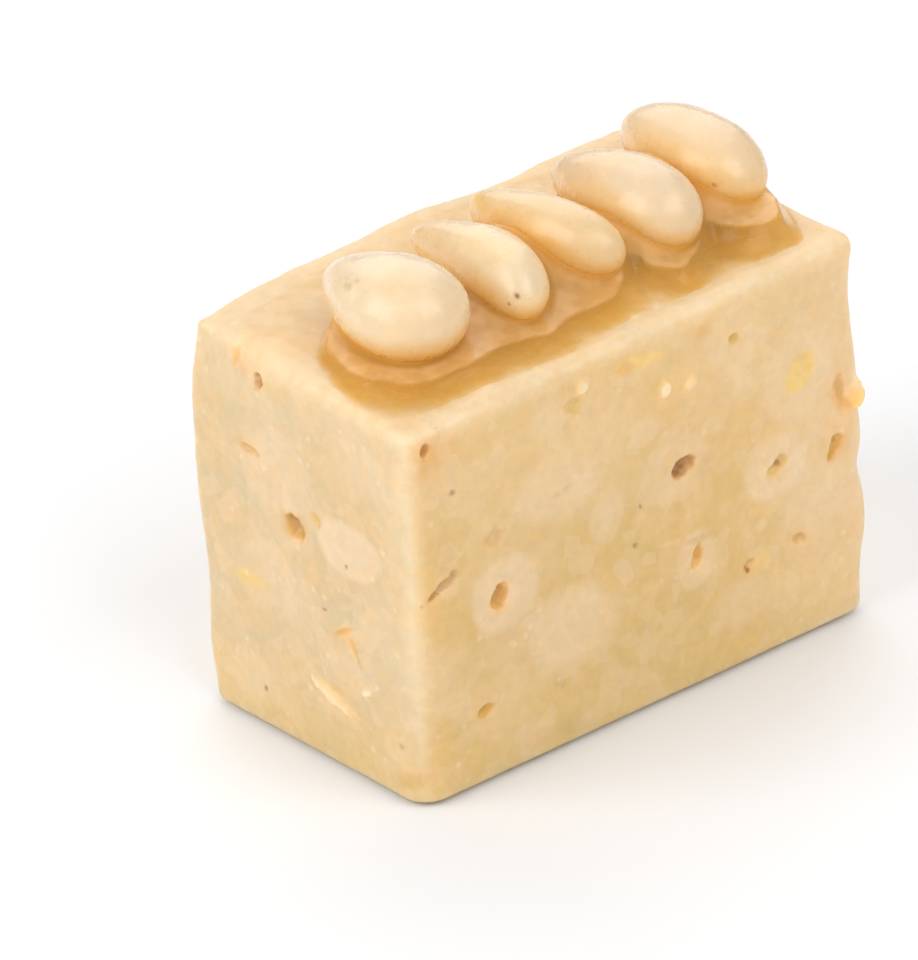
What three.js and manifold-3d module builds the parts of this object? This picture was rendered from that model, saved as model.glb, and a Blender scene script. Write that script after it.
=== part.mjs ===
// Pine nut almond pastry: a hand-cut slab of almond paste with five whole pine nuts in a row along its top.
// Millimetres, +Z up. The slab stands on its flat underside, and its long cut face looks along -Y.

import * as THREE from 'three';
import { mergeVertices } from 'three/addons/utils/BufferGeometryUtils.js';
import Module from 'manifold-3d';

const wasm = await Module();
wasm.setup();

// Driving dimensions of the slab
const SLAB = { length: 35, depth: 20.6, height: 26 };
const EDGE = { foot: 1.8, lift: 0.7, top: 1.0, steps: 3 };
const CELL = 2.0;
const GAP = 0.3;

// Where the square block's foot stands, so that the cut slab's own box is centred on the origin
const STAND = { x: 0.185, y: -0.272 };

// How far the knife and the fingers moved each corner of the square block; the foot stays level
const CORNERS = [
  { sign: [-1, -1, 1], move: [-0.1, -0.18, -0.36] },
  { sign: [1, -1, 1], move: [0.3, 0.07, 0.08] },
  { sign: [-1, 1, 1], move: [0.23, 0.99, -0.04] },
  { sign: [1, 1, 1], move: [0.3, 1.25, 0.35] },
  { sign: [-1, -1, 0], move: [0.2, 0.5, 0] },
  { sign: [1, -1, 0], move: [0.4, -0.7, 0] },
  { sign: [-1, 1, 0], move: [-1.2, -0.5, 0] },
  { sign: [1, 1, 0], move: [0.4, 0.9, 0] },
];

// Slow waves of the pressed faces: how high, how long, which way they run, and where they start
const WAVES = [
  { rise: 0.11, length: 13, way: [0.8, 0.3, 0.52], start: 0.4 },
  { rise: 0.09, length: 8.5, way: [-0.35, 0.6, 0.72], start: 2.1 },
  { rise: 0.07, length: 5.6, way: [0.55, -0.62, 0.56], start: 4.4 },
];

// Wide swellings and dips of the corners and edges, where the cut is broken or a nut lies just under it
const SWELLS = [
  { at: [-17.3, 10.1, 25.8], reach: 3.2, rise: -0.8 },
  { at: [-17.5, 10.3, 14], reach: 5, rise: 0.25 },
  { at: [17.5, -10.3, 12.5], reach: 1.7, rise: 0.26 },
  { at: [17.5, -10.3, 7.2], reach: 2.6, rise: 0.3 },
  { at: [17.5, -10.3, 10.2], reach: 1.1, rise: -0.16 },
];

// The upright faces: which way is right for someone who looks at the face, and which way is out
const FACES = {
  front: { right: [1, 0], out: [0, -1], width: SLAB.length },
  left: { right: [0, -1], out: [-1, 0], width: SLAB.depth },
  right: { right: [0, 1], out: [1, 0], width: SLAB.depth },
  back: { right: [-1, 0], out: [0, 1], width: SLAB.length },
};

// Hollows of the cut nuts and small pits: place from the face's left side and foot, half sizes, turn, depth
const PITS = [
  { face: 'front', at: [6.4, 12.8], half: [0.95, 0.78], turn: 49, deep: 1.7 },
  { face: 'front', at: [20.6, 15.6], half: [0.85, 0.68], turn: 17, deep: 1.8 },
  { face: 'front', at: [27.7, 13], half: [0.72, 0.45], turn: 35, deep: 1.0 },
  { face: 'front', at: [21.1, 9.5], half: [0.8, 0.48], turn: 76, deep: 1.2 },
  { face: 'front', at: [24.7, 23], half: [0.46, 0.4], turn: 0, deep: 0.7 },
  { face: 'front', at: [32.4, 12.8], half: [0.85, 0.5], turn: 60, deep: 0.8 },
  { face: 'front', at: [29.6, 7.1], half: [0.69, 0.5], turn: 150, deep: 0.7 },
  { face: 'front', at: [2, 15], half: [1.1, 0.28], turn: 24, deep: 0.7 },
  { face: 'front', at: [6.1, 16.9], half: [0.95, 0.45], turn: 3, deep: 0.4 },
  { face: 'front', at: [4.7, 5.4], half: [0.67, 0.48], turn: 15, deep: 0.8 },
  { face: 'front', at: [1.6, 24.7], half: [0.55, 0.38], turn: 60, deep: 0.8 },
  { face: 'front', at: [12.6, 23.2], half: [0.57, 0.5], turn: 0, deep: 0.6 },
  { face: 'front', at: [25.3, 7], half: [0.5, 0.34], turn: 14, deep: 0.6 },
  { face: 'front', at: [32.9, 16.2], half: [0.8, 0.42], turn: 88, deep: 0.5 },
  { face: 'left', at: [10.1, 15.5], half: [1.1, 0.8], turn: 160, deep: 1.6 },
  { face: 'left', at: [7.6, 24.4], half: [0.6, 0.38], turn: 85, deep: 0.9 },
  { face: 'left', at: [6.2, 19.2], half: [0.95, 0.26], turn: 170, deep: 0.6 },
  { face: 'left', at: [14, 10.2], half: [1.1, 0.24], turn: 30, deep: 0.5 },
  { face: 'left', at: [15, 9.4], half: [1.1, 0.22], turn: 125, deep: 0.5 },
  { face: 'left', at: [12, 17], half: [0.55, 0.36], turn: 119, deep: 0.6 },
  { face: 'left', at: [5.3, 25.4], half: [1.0, 0.45], turn: 80, deep: 0.7 },
];

// Nuts' skins and crumbs of nut that stand a little proud of the cut
const CRUMBS = [
  { face: 'left', at: [12.8, 5.3], half: [2.2, 0.42], turn: 160, rise: 0.3 },
  { face: 'left', at: [16.4, 7.1], half: [0.8, 0.36], turn: 29, rise: 0.25 },
  { face: 'front', at: [19.3, 21.7], half: [0.72, 0.5], turn: 81, rise: 0.22 },
  { face: 'front', at: [21.2, 21.2], half: [0.58, 0.42], turn: 20, rise: 0.2 },
  { face: 'front', at: [13.2, 24.1], half: [0.55, 0.34], turn: 47, rise: 0.22 },
  { face: 'front', at: [34, 15.6], half: [0.75, 0.72], turn: 88, rise: 0.55 },
];

// The two faces turned away get pits of the same sizes by a seeded draw
const DRAWN = { seed: 20, perFace: { right: 6, back: 9 }, half: [0.4, 1.0], deep: [0.5, 1.5], margin: 3.2 };

// Whole nuts: place of the middle, turn off the slab's depth, how far the blunt end dips, width, length and
// thickness, egg taper, sideways bend, and how deep the nut is pressed into the top
const NUTS = [
  { at: [-10.9, -1.1], turn: -1, dip: -0.6, size: [7.1, 11, 6], taper: 0.3, bend: 0, sink: 0.3 },
  { at: [-3.55, -0.4], turn: -4, dip: -0.5, size: [4.75, 12.3, 5.1], taper: 0.3, bend: -0.7, sink: 0.5 },
  { at: [1.95, 0.75], turn: 3, dip: -2, size: [4.75, 12.9, 5.3], taper: 0.32, bend: 0.9, sink: 0.6 },
  { at: [7.8, -0.25], turn: 2, dip: -1, size: [5.9, 11.9, 6], taper: 0.26, bend: 0, sink: 0.45 },
  { at: [14.2, 0.8], turn: -3, dip: 2, size: [6.3, 12.1, 5.9], taper: 0.17, bend: 0, sink: 0.1 },
];
const BEND_CENTRE = 0.4;
const NUT_MESH = { around: 20, along: 14 };
const PIT_MESH = { around: 9, along: 6 };

const PASTE = new THREE.MeshStandardMaterial({ color: 0xeccf9d, roughness: 0.5, metalness: 0 });
const KERNEL = new THREE.MeshStandardMaterial({ color: 0xf6dfb6, roughness: 0.25, metalness: 0 });

const radians = THREE.MathUtils.degToRad;
const lerp = THREE.MathUtils.lerp;

// Booleans

function toSolid(geometry) {
  const bare = geometry.clone();
  bare.deleteAttribute('normal');
  bare.deleteAttribute('uv');
  const merged = mergeVertices(bare);
  return new wasm.Manifold(new wasm.Mesh({
    numProp: 3,
    vertProperties: new Float32Array(merged.attributes.position.array),
    triVerts: new Uint32Array(merged.index.array),
  }));
}

function toGeometry(solid) {
  const mesh = solid.getMesh();
  const geometry = new THREE.BufferGeometry();
  geometry.setAttribute('position', new THREE.BufferAttribute(mesh.vertProperties, 3));
  geometry.setIndex(new THREE.BufferAttribute(mesh.triVerts, 1));
  geometry.computeVertexNormals();
  return geometry;
}

function movePoints(geometry, move) {
  const position = geometry.attributes.position;
  const point = new THREE.Vector3();
  for (let i = 0; i < position.count; i += 1) {
    point.fromBufferAttribute(position, i);
    move(point);
    position.setXYZ(i, point.x, point.y, point.z);
  }
  return geometry;
}

// The slab's surface

// Half sizes of the rounded edge at a height; the foot is pressed flat, so it rounds low and wide
function edgeHalves(z) {
  const up = z / SLAB.height;
  const wide = lerp(EDGE.foot, EDGE.top, up);
  return new THREE.Vector3(wide, wide, lerp(EDGE.lift, EDGE.top, up));
}

function unevenness(p) {
  let rise = 0;
  for (const wave of WAVES) {
    const run = p.dot(new THREE.Vector3(...wave.way)) / wave.length;
    rise += wave.rise * Math.sin(2 * Math.PI * run + wave.start);
  }
  for (const swell of SWELLS) {
    const far = p.distanceTo(new THREE.Vector3(...swell.at)) / swell.reach;
    rise += swell.rise * Math.exp(-far * far);
  }
  return rise * THREE.MathUtils.smoothstep(p.z, 0, 2 * EDGE.foot);
}

function cornerMove(p) {
  const across = p.x / SLAB.length + 0.5;
  const along = p.y / SLAB.depth + 0.5;
  const up = p.z / SLAB.height;
  const move = new THREE.Vector3();
  for (const { sign, move: corner } of CORNERS) {
    const share = (sign[0] > 0 ? across : 1 - across)
      * (sign[1] > 0 ? along : 1 - along)
      * (sign[2] > 0 ? up : 1 - up);
    move.addScaledVector(new THREE.Vector3(...corner), share);
  }
  return move;
}

// Takes a point on the square block's surface to its place on the rounded, uneven, hand-cut slab
function toSurface(p) {
  const halves = edgeHalves(p.z);
  const core = new THREE.Vector3(
    THREE.MathUtils.clamp(p.x, halves.x - SLAB.length / 2, SLAB.length / 2 - halves.x),
    THREE.MathUtils.clamp(p.y, halves.y - SLAB.depth / 2, SLAB.depth / 2 - halves.y),
    THREE.MathUtils.clamp(p.z, halves.z, SLAB.height - halves.z),
  );
  const out = p.clone().sub(core).divide(halves).normalize();
  p.copy(out).multiply(halves).add(core);
  p.addScaledVector(out, unevenness(p));
  p.add(cornerMove(p));
  return p;
}

// Grid places along one side of the block, closer together where the edges are rounded
function gridPlaces(length, rounded) {
  const middle = length - 2 * rounded;
  const cells = Math.round(middle / CELL);
  const places = [];
  for (let i = 0; i < EDGE.steps; i += 1) places.push((rounded * i) / EDGE.steps);
  for (let i = 0; i <= cells; i += 1) places.push(rounded + (middle * i) / cells);
  for (let i = EDGE.steps - 1; i >= 0; i -= 1) places.push(length - (rounded * i) / EDGE.steps);
  return places;
}

function slabBody() {
  const xs = gridPlaces(SLAB.length, EDGE.foot);
  const ys = gridPlaces(SLAB.depth, EDGE.foot);
  const zs = gridPlaces(SLAB.height, EDGE.top);
  const cells = [xs.length - 1, ys.length - 1, zs.length - 1];
  const box = new THREE.BoxGeometry(...cells, ...cells);
  return toSolid(movePoints(box, (p) => {
    p.set(
      xs[Math.round(p.x + cells[0] / 2)] - SLAB.length / 2,
      ys[Math.round(p.y + cells[1] / 2)] - SLAB.depth / 2,
      zs[Math.round(p.z + cells[2] / 2)],
    );
    toSurface(p);
  }));
}

// Hollows and crumbs on the faces

function facePoint({ face, at }) {
  const { right, out, width } = FACES[face];
  const across = at[0] - width / 2;
  return toSurface(new THREE.Vector3(
    right[0] * across + (out[0] * SLAB.length) / 2,
    right[1] * across + (out[1] * SLAB.depth) / 2,
    at[1],
  ));
}

function ellipsoidOn(mark, thickness) {
  const { right, out } = FACES[mark.face];
  const frame = new THREE.Matrix4().makeBasis(
    new THREE.Vector3(right[0], right[1], 0),
    new THREE.Vector3(0, 0, 1),
    new THREE.Vector3(out[0], out[1], 0),
  );
  const blob = new THREE.SphereGeometry(1, PIT_MESH.around, PIT_MESH.along);
  blob.rotateX(Math.PI / 2);
  blob.scale(mark.half[0], mark.half[1], thickness);
  blob.rotateZ(radians(mark.turn));
  blob.applyMatrix4(frame);
  const place = facePoint(mark);
  blob.translate(place.x, place.y, place.z);
  return toSolid(blob);
}

function drawnPits() {
  const draw = THREE.MathUtils.seededRandom;
  draw(DRAWN.seed);
  const pits = [];
  for (const [face, count] of Object.entries(DRAWN.perFace)) {
    const room = FACES[face].width - 2 * DRAWN.margin;
    for (let i = 0; i < count; i += 1) {
      const wide = lerp(...DRAWN.half, draw());
      const across = DRAWN.margin + (room * (i + draw())) / count;
      const up = lerp(DRAWN.margin, SLAB.height - DRAWN.margin, draw());
      pits.push({
        face,
        at: [across, up],
        half: [wide, wide * lerp(...DRAWN.half, draw())],
        turn: 180 * draw(),
        deep: lerp(...DRAWN.deep, draw()),
      });
    }
  }
  return pits;
}

// Nuts

function nutGeometry(nut, grow) {
  const [width, length, thick] = nut.size;
  const widest = (Math.sqrt(1 + 8 * nut.taper ** 2) - 1) / (4 * nut.taper);
  const full = Math.sqrt(1 - widest ** 2) * (1 + nut.taper * widest);
  const egg = new THREE.SphereGeometry(1, NUT_MESH.around, NUT_MESH.along);
  return movePoints(egg, (p) => {
    const towardsBlunt = -p.y;
    const swell = (1 + nut.taper * towardsBlunt) / full;
    p.set(
      p.x * swell * (width / 2 + grow) + nut.bend * (towardsBlunt ** 2 - BEND_CENTRE),
      p.y * (length / 2 + grow),
      p.z * swell * (thick / 2 + grow),
    );
  });
}

function placeNut(object, nut) {
  object.position.set(...nut.at, SLAB.height - nut.sink + nut.size[2] / 2);
  object.rotation.set(radians(nut.dip), 0, radians(nut.turn), 'ZYX');
  object.updateMatrix();
  return object;
}

function nutMesh(nut, index) {
  const mesh = new THREE.Mesh(nutGeometry(nut, 0), KERNEL);
  mesh.name = `pine_nut_${index + 1}`;
  return placeNut(mesh, nut);
}

function nutSocket(nut) {
  const place = placeNut(new THREE.Object3D(), nut);
  return toSolid(nutGeometry(nut, GAP).applyMatrix4(place.matrix));
}

// The slab with all that is cut out of it and fused to it

function slabMesh() {
  let solid = slabBody();
  for (const crumb of CRUMBS) solid = solid.add(ellipsoidOn(crumb, crumb.rise));
  for (const pit of [...PITS, ...drawnPits()]) solid = solid.subtract(ellipsoidOn(pit, pit.deep));
  for (const nut of NUTS) solid = solid.subtract(nutSocket(nut));
  const mesh = new THREE.Mesh(toGeometry(solid), PASTE);
  mesh.name = 'slab';
  return mesh;
}

const pastry = new THREE.Group();
pastry.position.set(STAND.x, STAND.y, 0);
pastry.add(slabMesh());
pastry.add(...NUTS.map(nutMesh));

export default pastry;
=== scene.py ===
"""Looks of the pine nut almond pastry: cut almond paste, five whole pine nuts, and the glaze they lie in."""
import math

import bmesh
import bpy
import numpy as np
from mathutils import Matrix, Vector


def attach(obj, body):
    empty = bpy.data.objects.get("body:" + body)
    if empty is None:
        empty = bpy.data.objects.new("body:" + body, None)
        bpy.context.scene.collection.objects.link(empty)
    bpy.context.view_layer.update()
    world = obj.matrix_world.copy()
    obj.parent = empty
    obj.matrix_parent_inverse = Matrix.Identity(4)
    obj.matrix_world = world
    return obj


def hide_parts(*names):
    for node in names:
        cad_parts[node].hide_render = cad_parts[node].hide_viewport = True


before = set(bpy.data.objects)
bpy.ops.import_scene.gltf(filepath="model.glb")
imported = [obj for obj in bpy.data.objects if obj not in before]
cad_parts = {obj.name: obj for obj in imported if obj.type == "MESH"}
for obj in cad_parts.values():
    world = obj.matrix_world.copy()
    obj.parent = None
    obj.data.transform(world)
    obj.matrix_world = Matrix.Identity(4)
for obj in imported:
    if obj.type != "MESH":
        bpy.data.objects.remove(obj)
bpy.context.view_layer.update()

# Lengths below are millimetres; a piece goes to metres when its mesh is made
MM = 0.001

# Where the block's middle stands in the shared frame
STAND = np.array([0.185, -0.272, 0.0])

# The square block that the slab was cut from, and its rounded edges, low and wide at the foot
LENGTH, DEPTH, HEIGHT = 35.0, 20.6, 26.0
FOOT_RADIUS, FOOT_LIFT, TOP_RADIUS = 1.8, 0.7, 1.0

# How near to a face of the block a point counts as lying on it
ON_FACE = 0.01

# How far each corner of the block was moved by the knife and the fingers: sign of the corner, move
CORNERS = [
    ((-1, -1, 1), (-0.1, -0.18, -0.36)),
    ((1, -1, 1), (0.3, 0.07, 0.08)),
    ((-1, 1, 1), (0.23, 0.99, -0.04)),
    ((1, 1, 1), (0.3, 1.25, 0.35)),
    ((-1, -1, 0), (0.2, 0.5, 0)),
    ((1, -1, 0), (0.4, -0.7, 0)),
    ((-1, 1, 0), (-1.2, -0.5, 0)),
    ((1, 1, 0), (0.4, 0.9, 0)),
]

# Slow waves of the pressed faces: rise, length, direction, start
WAVES = [
    (0.11, 13, (0.8, 0.3, 0.52), 0.4),
    (0.09, 8.5, (-0.35, 0.6, 0.72), 2.1),
    (0.07, 5.6, (0.55, -0.62, 0.56), 4.4),
]

# Swellings and dips of the corners and edges: place, reach, rise
SWELLS = [
    ((-17.3, 10.1, 25.8), 3.2, -0.8),
    ((-17.5, 10.3, 14.0), 5.0, 0.25),
    ((17.5, -10.3, 12.5), 1.7, 0.26),
    ((17.5, -10.3, 7.2), 2.6, 0.3),
    ((17.5, -10.3, 10.2), 1.1, -0.16),
]

# The upright faces: right and out for someone who looks at the face, and its width
FACES = {
    "front": ((1, 0), (0, -1), LENGTH),
    "left": ((0, -1), (-1, 0), DEPTH),
    "right": ((0, 1), (1, 0), DEPTH),
    "back": ((-1, 0), (0, 1), LENGTH),
}

# The slab's mesh: a box lattice, once finer on the faces that show and twice finer round their small marks
COARSE_CELL = 0.34
RIM_BAND = 2.6

# Share of a hollow's packed depth that is left open, and how far the painted highlight and the paler smeared
# paste of the edges reach
PIT_SHARE = 0.45
EDGE_BAND = 1.5

# Painted shade: how much darker the paste is low on the left face, and low on the left half of the front
LEFT_SHADE = 0.07
FRONT_SHADE = 0.05

# Colours as the photograph shows them, in sRGB from 0 to 255
SRGB = {
    "paste": (232, 193, 122),
    # paler paste of the left face: painted light, where more light falls
    "paste_left_painted_light": (226, 201, 157),
    # darker paste of the top face: painted shade
    "paste_top_painted_shade": (229, 201, 154),
    "paste_warm": (238, 193, 124),
    "paste_pink": (242, 206, 156),
    "paste_low": (238, 200, 126),
    "flesh": (246, 216, 174),
    "skin": (212, 168, 104),
    "tan": (214, 172, 108),
    "gold": (250, 208, 104),
    "amber": (205, 158, 52),
    "orange": (232, 164, 84),
    "brown": (150, 100, 14),
    # umber: painted shadow in the upper part of the hollows
    "umber": (112, 74, 6),
    "dark": (150, 80, 20),
    "olive": (212, 183, 108),
    "white": (250, 230, 194),
    # colour of the edges: painted highlight, partly paler smeared paste
    "rim": (250, 229, 190),
    "soaked": (225, 184, 125),
    # pale glaze of the open flat top: partly milky syrup, partly painted reflection
    "glaze_milk_and_reflection": (252, 197, 128),
    "glaze_amber": (255, 190, 88),
    "nut": (243, 217, 176),
    "nut_deep": (248, 208, 142),
    "nut_wet": (255, 199, 104),
    "nut_tip": (248, 205, 110),
}

# Hollows: face, place from its left side and foot, half sizes, turn, depth, colour inside, strength of the
# painted shadow in its upper part
PITS = [
    ("front", (6.4, 12.8), (0.95, 0.78), 49, 1.7, "amber", 0.25),
    ("front", (20.6, 15.6), (0.85, 0.68), 17, 1.8, "brown", 0.85),
    ("front", (27.7, 13), (0.72, 0.45), 35, 1.0, "olive", 0.25),
    ("front", (21.1, 9.5), (0.8, 0.48), 76, 1.2, "amber", 0.3),
    ("front", (24.7, 23), (0.46, 0.4), 0, 0.7, "olive", 0.2),
    ("front", (32.4, 12.8), (0.85, 0.5), 60, 0.8, "amber", 0.3),
    ("front", (29.6, 7.1), (0.69, 0.5), 150, 0.7, "tan", 0.0),
    ("front", (2, 15), (1.1, 0.28), 24, 0.7, "brown", 0.5),
    ("front", (6.1, 16.9), (0.95, 0.45), 3, 0.4, "tan", 0.0),
    ("front", (4.7, 5.4), (0.67, 0.48), 15, 0.8, "amber", 0.1),
    ("front", (1.6, 24.7), (0.55, 0.38), 60, 0.8, "brown", 0.5),
    ("front", (12.6, 23.2), (0.57, 0.5), 0, 0.6, "olive", 0.0),
    ("front", (25.3, 7), (0.5, 0.34), 14, 0.6, "tan", 0.3),
    ("front", (32.9, 16.2), (0.8, 0.42), 88, 0.5, "tan", 0.1),
    ("left", (10.1, 15.5), (1.1, 0.8), 160, 1.6, "amber", 0.6),
    ("left", (7.6, 24.4), (0.6, 0.38), 85, 0.9, "brown", 0.8),
    ("left", (6.2, 19.2), (0.95, 0.26), 170, 0.6, "tan", 0.0),
    ("left", (14, 10.2), (1.1, 0.24), 30, 0.5, "skin", 0.1),
    ("left", (15, 9.4), (1.1, 0.22), 125, 0.5, "tan", 0.0),
    ("left", (12, 17), (0.55, 0.36), 119, 0.6, "olive", 0.0),
    ("left", (5.3, 25.4), (1.0, 0.45), 80, 0.7, "orange", 0.0),
]

# Crumbs that stand proud: face, place, half sizes, turn, rise, colour
CRUMBS = [
    ("left", (12.8, 5.3), (2.2, 0.42), 160, 0.3, "white"),
    ("left", (16.4, 7.1), (0.8, 0.36), 29, 0.25, "white"),
    ("front", (19.3, 21.7), (0.72, 0.5), 81, 0.22, "white"),
    ("front", (21.2, 21.2), (0.58, 0.42), 20, 0.2, "flesh"),
    ("front", (13.2, 24.1), (0.55, 0.34), 47, 0.22, "white"),
    ("front", (34, 15.6), (0.75, 0.72), 88, 0.55, "gold"),
]

# Cut pieces of nut in the paste: face, middle, half sizes, turn, how clearly they show, softness of the edge
SECTIONS = [
    ("front", (6.7, 12.8), (2.5, 2.6), 0, 1.0, 0.14),
    ("front", (19.6, 15.8), (3.1, 1.95), 0, 0.55, 0.3),
    ("front", (27.7, 13), (2.3, 2.3), 0, 0.95, 0.16),
    ("front", (21, 9.3), (2.0, 1.5), -93, 0.8, 0.16),
    ("front", (14.4, 14.9), (1.93, 1.25), -93, 0.6, 0.2),
    ("front", (14.4, 15), (0.9, 0.5), -93, 0.5, 0.3),
    ("front", (24.8, 22.9), (2.3, 2.4), 0, 0.55, 0.3),
    ("front", (29.8, 18.6), (3.2, 2.9), 0, 0.6, 0.25),
    ("front", (31.1, 9.6), (2.6, 2.2), 163, 0.5, 0.3),
    ("front", (11.4, 8.5), (2.9, 2.6), 0, 0.8, 0.3),
    ("front", (24.9, 4.7), (2.5, 1.6), 0, 0.5, 0.4),
    ("front", (10.8, 18.4), (2.8, 2.1), 0, 0.6, 0.3),
    ("front", (10.6, 23.1), (1.5, 1.1), 0, 0.5, 0.3),
    ("front", (17.7, 19.3), (1.1, 0.85), 0, 0.6, 0.3),
    ("front", (25.1, 19.5), (1.0, 1.1), 0, 0.4, 0.3),
    ("front", (8.6, 10), (0.55, 0.5), 0, 0.8, 0.3),
    ("front", (7.3, 2.9), (0.5, 0.45), 0, 0.6, 0.4),
    ("front", (26.5, 9.3), (0.5, 0.4), 0, 0.6, 0.4),
    ("front", (1.9, 8.7), (1.8, 2.6), 15, 0.35, 0.4),
    ("left", (15, 16.2), (2.9, 1.9), 8, 1.25, 0.12),
    ("left", (8.2, 18.7), (3.5, 2.6), 0, 0.6, 0.3),
    ("left", (7.6, 11.1), (3.6, 2.3), 0, 0.6, 0.3),
    ("left", (5.6, 3.4), (2.6, 1.6), 0, 0.5, 0.35),
    ("left", (3.7, 14.4), (0.92, 0.83), 0, 0.5, 0.3),
    ("left", (14.8, 8.4), (2.6, 1.6), 0, 0.5, 0.3),
    ("left", (16.3, 22.2), (2.4, 2.0), 0, 0.4, 0.35),
    ("left", (9.6, 16.6), (0.7, 0.4), 20, 0.9, 0.35),
]

# Coloured bits and stains: face, place, half sizes, turn, colour, strength, softness of the edge
STAINS = [
    ("front", (29.9, 18.7), (1.3, 1.0), 63, "gold", 0.9, 0.25),
    ("front", (30, 19.6), (0.6, 0.25), 0, "olive", 0.35, 0.6),
    ("front", (17.5, 24.1), (1.7, 0.5), -4, "gold", 0.7, 0.35),
    ("front", (16.6, 24), (0.6, 0.4), 0, "orange", 0.6, 0.5),
    ("front", (26.4, 6.9), (0.8, 0.55), 14, "gold", 0.45, 0.6),
    ("front", (27.3, 12.8), (0.42, 0.4), 0, "olive", 0.8, 0.5),
    ("front", (32.4, 12.9), (0.9, 1.1), 20, "orange", 0.45, 0.8),
    ("front", (32.7, 15.8), (0.4, 1.1), 20, "orange", 0.5, 0.8),
    ("front", (1.9, 24), (1.5, 1.3), 0, "orange", 0.45, 0.7),
    ("front", (1.6, 14.1), (1.6, 1.0), 24, "paste_warm", 0.6, 0.8),
    ("front", (2.6, 17.1), (0.5, 1.6), 0, "tan", 0.35, 0.8),
    ("front", (12.4, 24.9), (0.96, 0.66), 10, "olive", 0.4, 0.6),
    ("front", (12.7, 23.5), (0.8, 0.6), 0, "olive", 0.35, 0.8),
    ("front", (11.5, 18.2), (0.35, 0.2), 30, "tan", 0.6, 0.5),
    ("front", (10.8, 18), (0.25, 0.2), 0, "dark", 0.2, 0.6),
    ("front", (19, 22.4), (1.0, 0.5), 50, "olive", 0.3, 0.7),
    ("front", (22.4, 24.2), (0.6, 0.4), 0, "orange", 0.4, 0.7),
    ("front", (21.4, 10.6), (1.2, 0.22), -8, "tan", 0.5, 0.5),
    ("front", (22.2, 14.9), (0.5, 0.9), -20, "tan", 0.4, 0.7),
    ("front", (11.2, 1.6), (1.3, 0.7), -12, "olive", 0.4, 0.8),
    ("front", (10.5, 4.9), (0.4, 0.35), 0, "tan", 0.5, 0.6),
    ("front", (3.4, 4.9), (0.5, 0.3), 0, "tan", 0.35, 0.7),
    ("front", (17.7, 11), (1.2, 0.6), 0, "olive", 0.2, 0.8),
    ("front", (31.3, 3.3), (2.4, 2.2), 0, "gold", 0.16, 0.8),
    ("front", (0.2, 2.3), (0.9, 0.7), 0, "orange", 0.5, 0.7),
    ("left", (5.5, 10.4), (1.3, 0.5), 0, "gold", 0.55, 0.6),
    ("left", (9.9, 15.6), (1.2, 0.6), 20, "amber", 0.6, 0.5),
    ("left", (8.8, 16.1), (1.2, 0.3), 12, "olive", 0.35, 0.7),
    ("left", (12.1, 17.1), (0.6, 0.4), 0, "olive", 0.4, 0.6),
    ("left", (5.9, 25.3), (0.5, 1.3), 6, "orange", 0.45, 0.6),
    ("left", (3.9, 14.2), (1.6, 0.9), 0, "orange", 0.15, 0.9),
    ("left", (13.3, 9.2), (0.9, 0.6), 20, "tan", 0.45, 0.7),
    ("left", (15, 9.8), (1.0, 0.35), 0, "tan", 0.45, 0.7),
    ("left", (13.8, 5.9), (1.5, 0.25), -3, "olive", 0.4, 0.6),
    ("left", (5.1, 19.6), (0.5, 0.25), 30, "olive", 0.35, 0.6),
    ("left", (10.5, 2.4), (1.6, 1.4), 0, "olive", 0.15, 0.8),
    ("left", (19.3, 1.9), (1.3, 0.6), 15, "amber", 0.65, 0.6),
]

# Small dark dots: face, place, half size
DOTS = [
    ("front", (3.4, 21.1), 0.2),
    ("front", (16.5, 12.1), 0.18),
    ("front", (17, 14.6), 0.14),
    ("front", (25.2, 6.7), 0.2),
    ("front", (27.9, 13.1), 0.26),
    ("front", (20.8, 9.2), 0.24),
    ("front", (1.6, 24.9), 0.3),
    ("front", (2.6, 26), 0.14),
    ("left", (10.6, 15.8), 0.32),
    ("left", (7.6, 24.3), 0.28),
    ("left", (18.8, 4.2), 0.24),
    ("left", (14.7, 15), 0.16),
    ("left", (12.4, 11.1), 0.14),
    ("left", (6, 3), 0.16),
]

# The two faces turned away get hollows and cut pieces by a seeded draw
DRAWN_SEED = 20
DRAWN_PITS = {"right": 6, "back": 9}
DRAWN_HALF = (0.4, 1.0)
DRAWN_DEEP = (0.5, 1.5)
DRAWN_MARGIN = 3.2
SECTION_MARGIN = 1.5

# Whole nuts: middle, turn, dip of the blunt end, width, length and thickness, egg taper, bend, depth pressed
# in, height of the glaze round it, how far its tail is glazed over, and its share of red, green and blue
NUTS = [
    dict(
        at=(-10.9, -1.1), turn=-1, dip=-0.6, size=(7.1, 11, 6), taper=0.3, bend=0, sink=0.3,
        glaze=1.0, film=0.1, tone=(0.98, 0.97, 0.98),
    ),
    dict(
        at=(-3.55, -0.4), turn=-4, dip=-0.5, size=(4.75, 12.3, 5.1), taper=0.3, bend=-0.7, sink=0.5,
        glaze=0.9, film=0.8, tone=(0.99, 1.0, 1.03),
    ),
    dict(
        at=(1.95, 0.75), turn=3, dip=-2, size=(4.75, 12.9, 5.3), taper=0.32, bend=0.9, sink=0.6,
        glaze=0.8, film=0.0, tone=(0.94, 0.87, 0.75),
    ),
    dict(
        at=(7.8, -0.25), turn=2, dip=-1, size=(5.9, 11.9, 6), taper=0.26, bend=0, sink=0.45,
        glaze=1.2, film=0.7, tone=(0.94, 0.92, 0.95),
    ),
    dict(
        at=(14.2, 0.8), turn=-3, dip=2, size=(6.3, 12.1, 5.9), taper=0.17, bend=0, sink=0.1,
        glaze=1.75, film=0.15, tone=(0.97, 0.92, 0.88),
    ),
]
BEND_CENTRE = 0.4
NUT_RINGS, NUT_SPOKES = 72, 96
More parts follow.
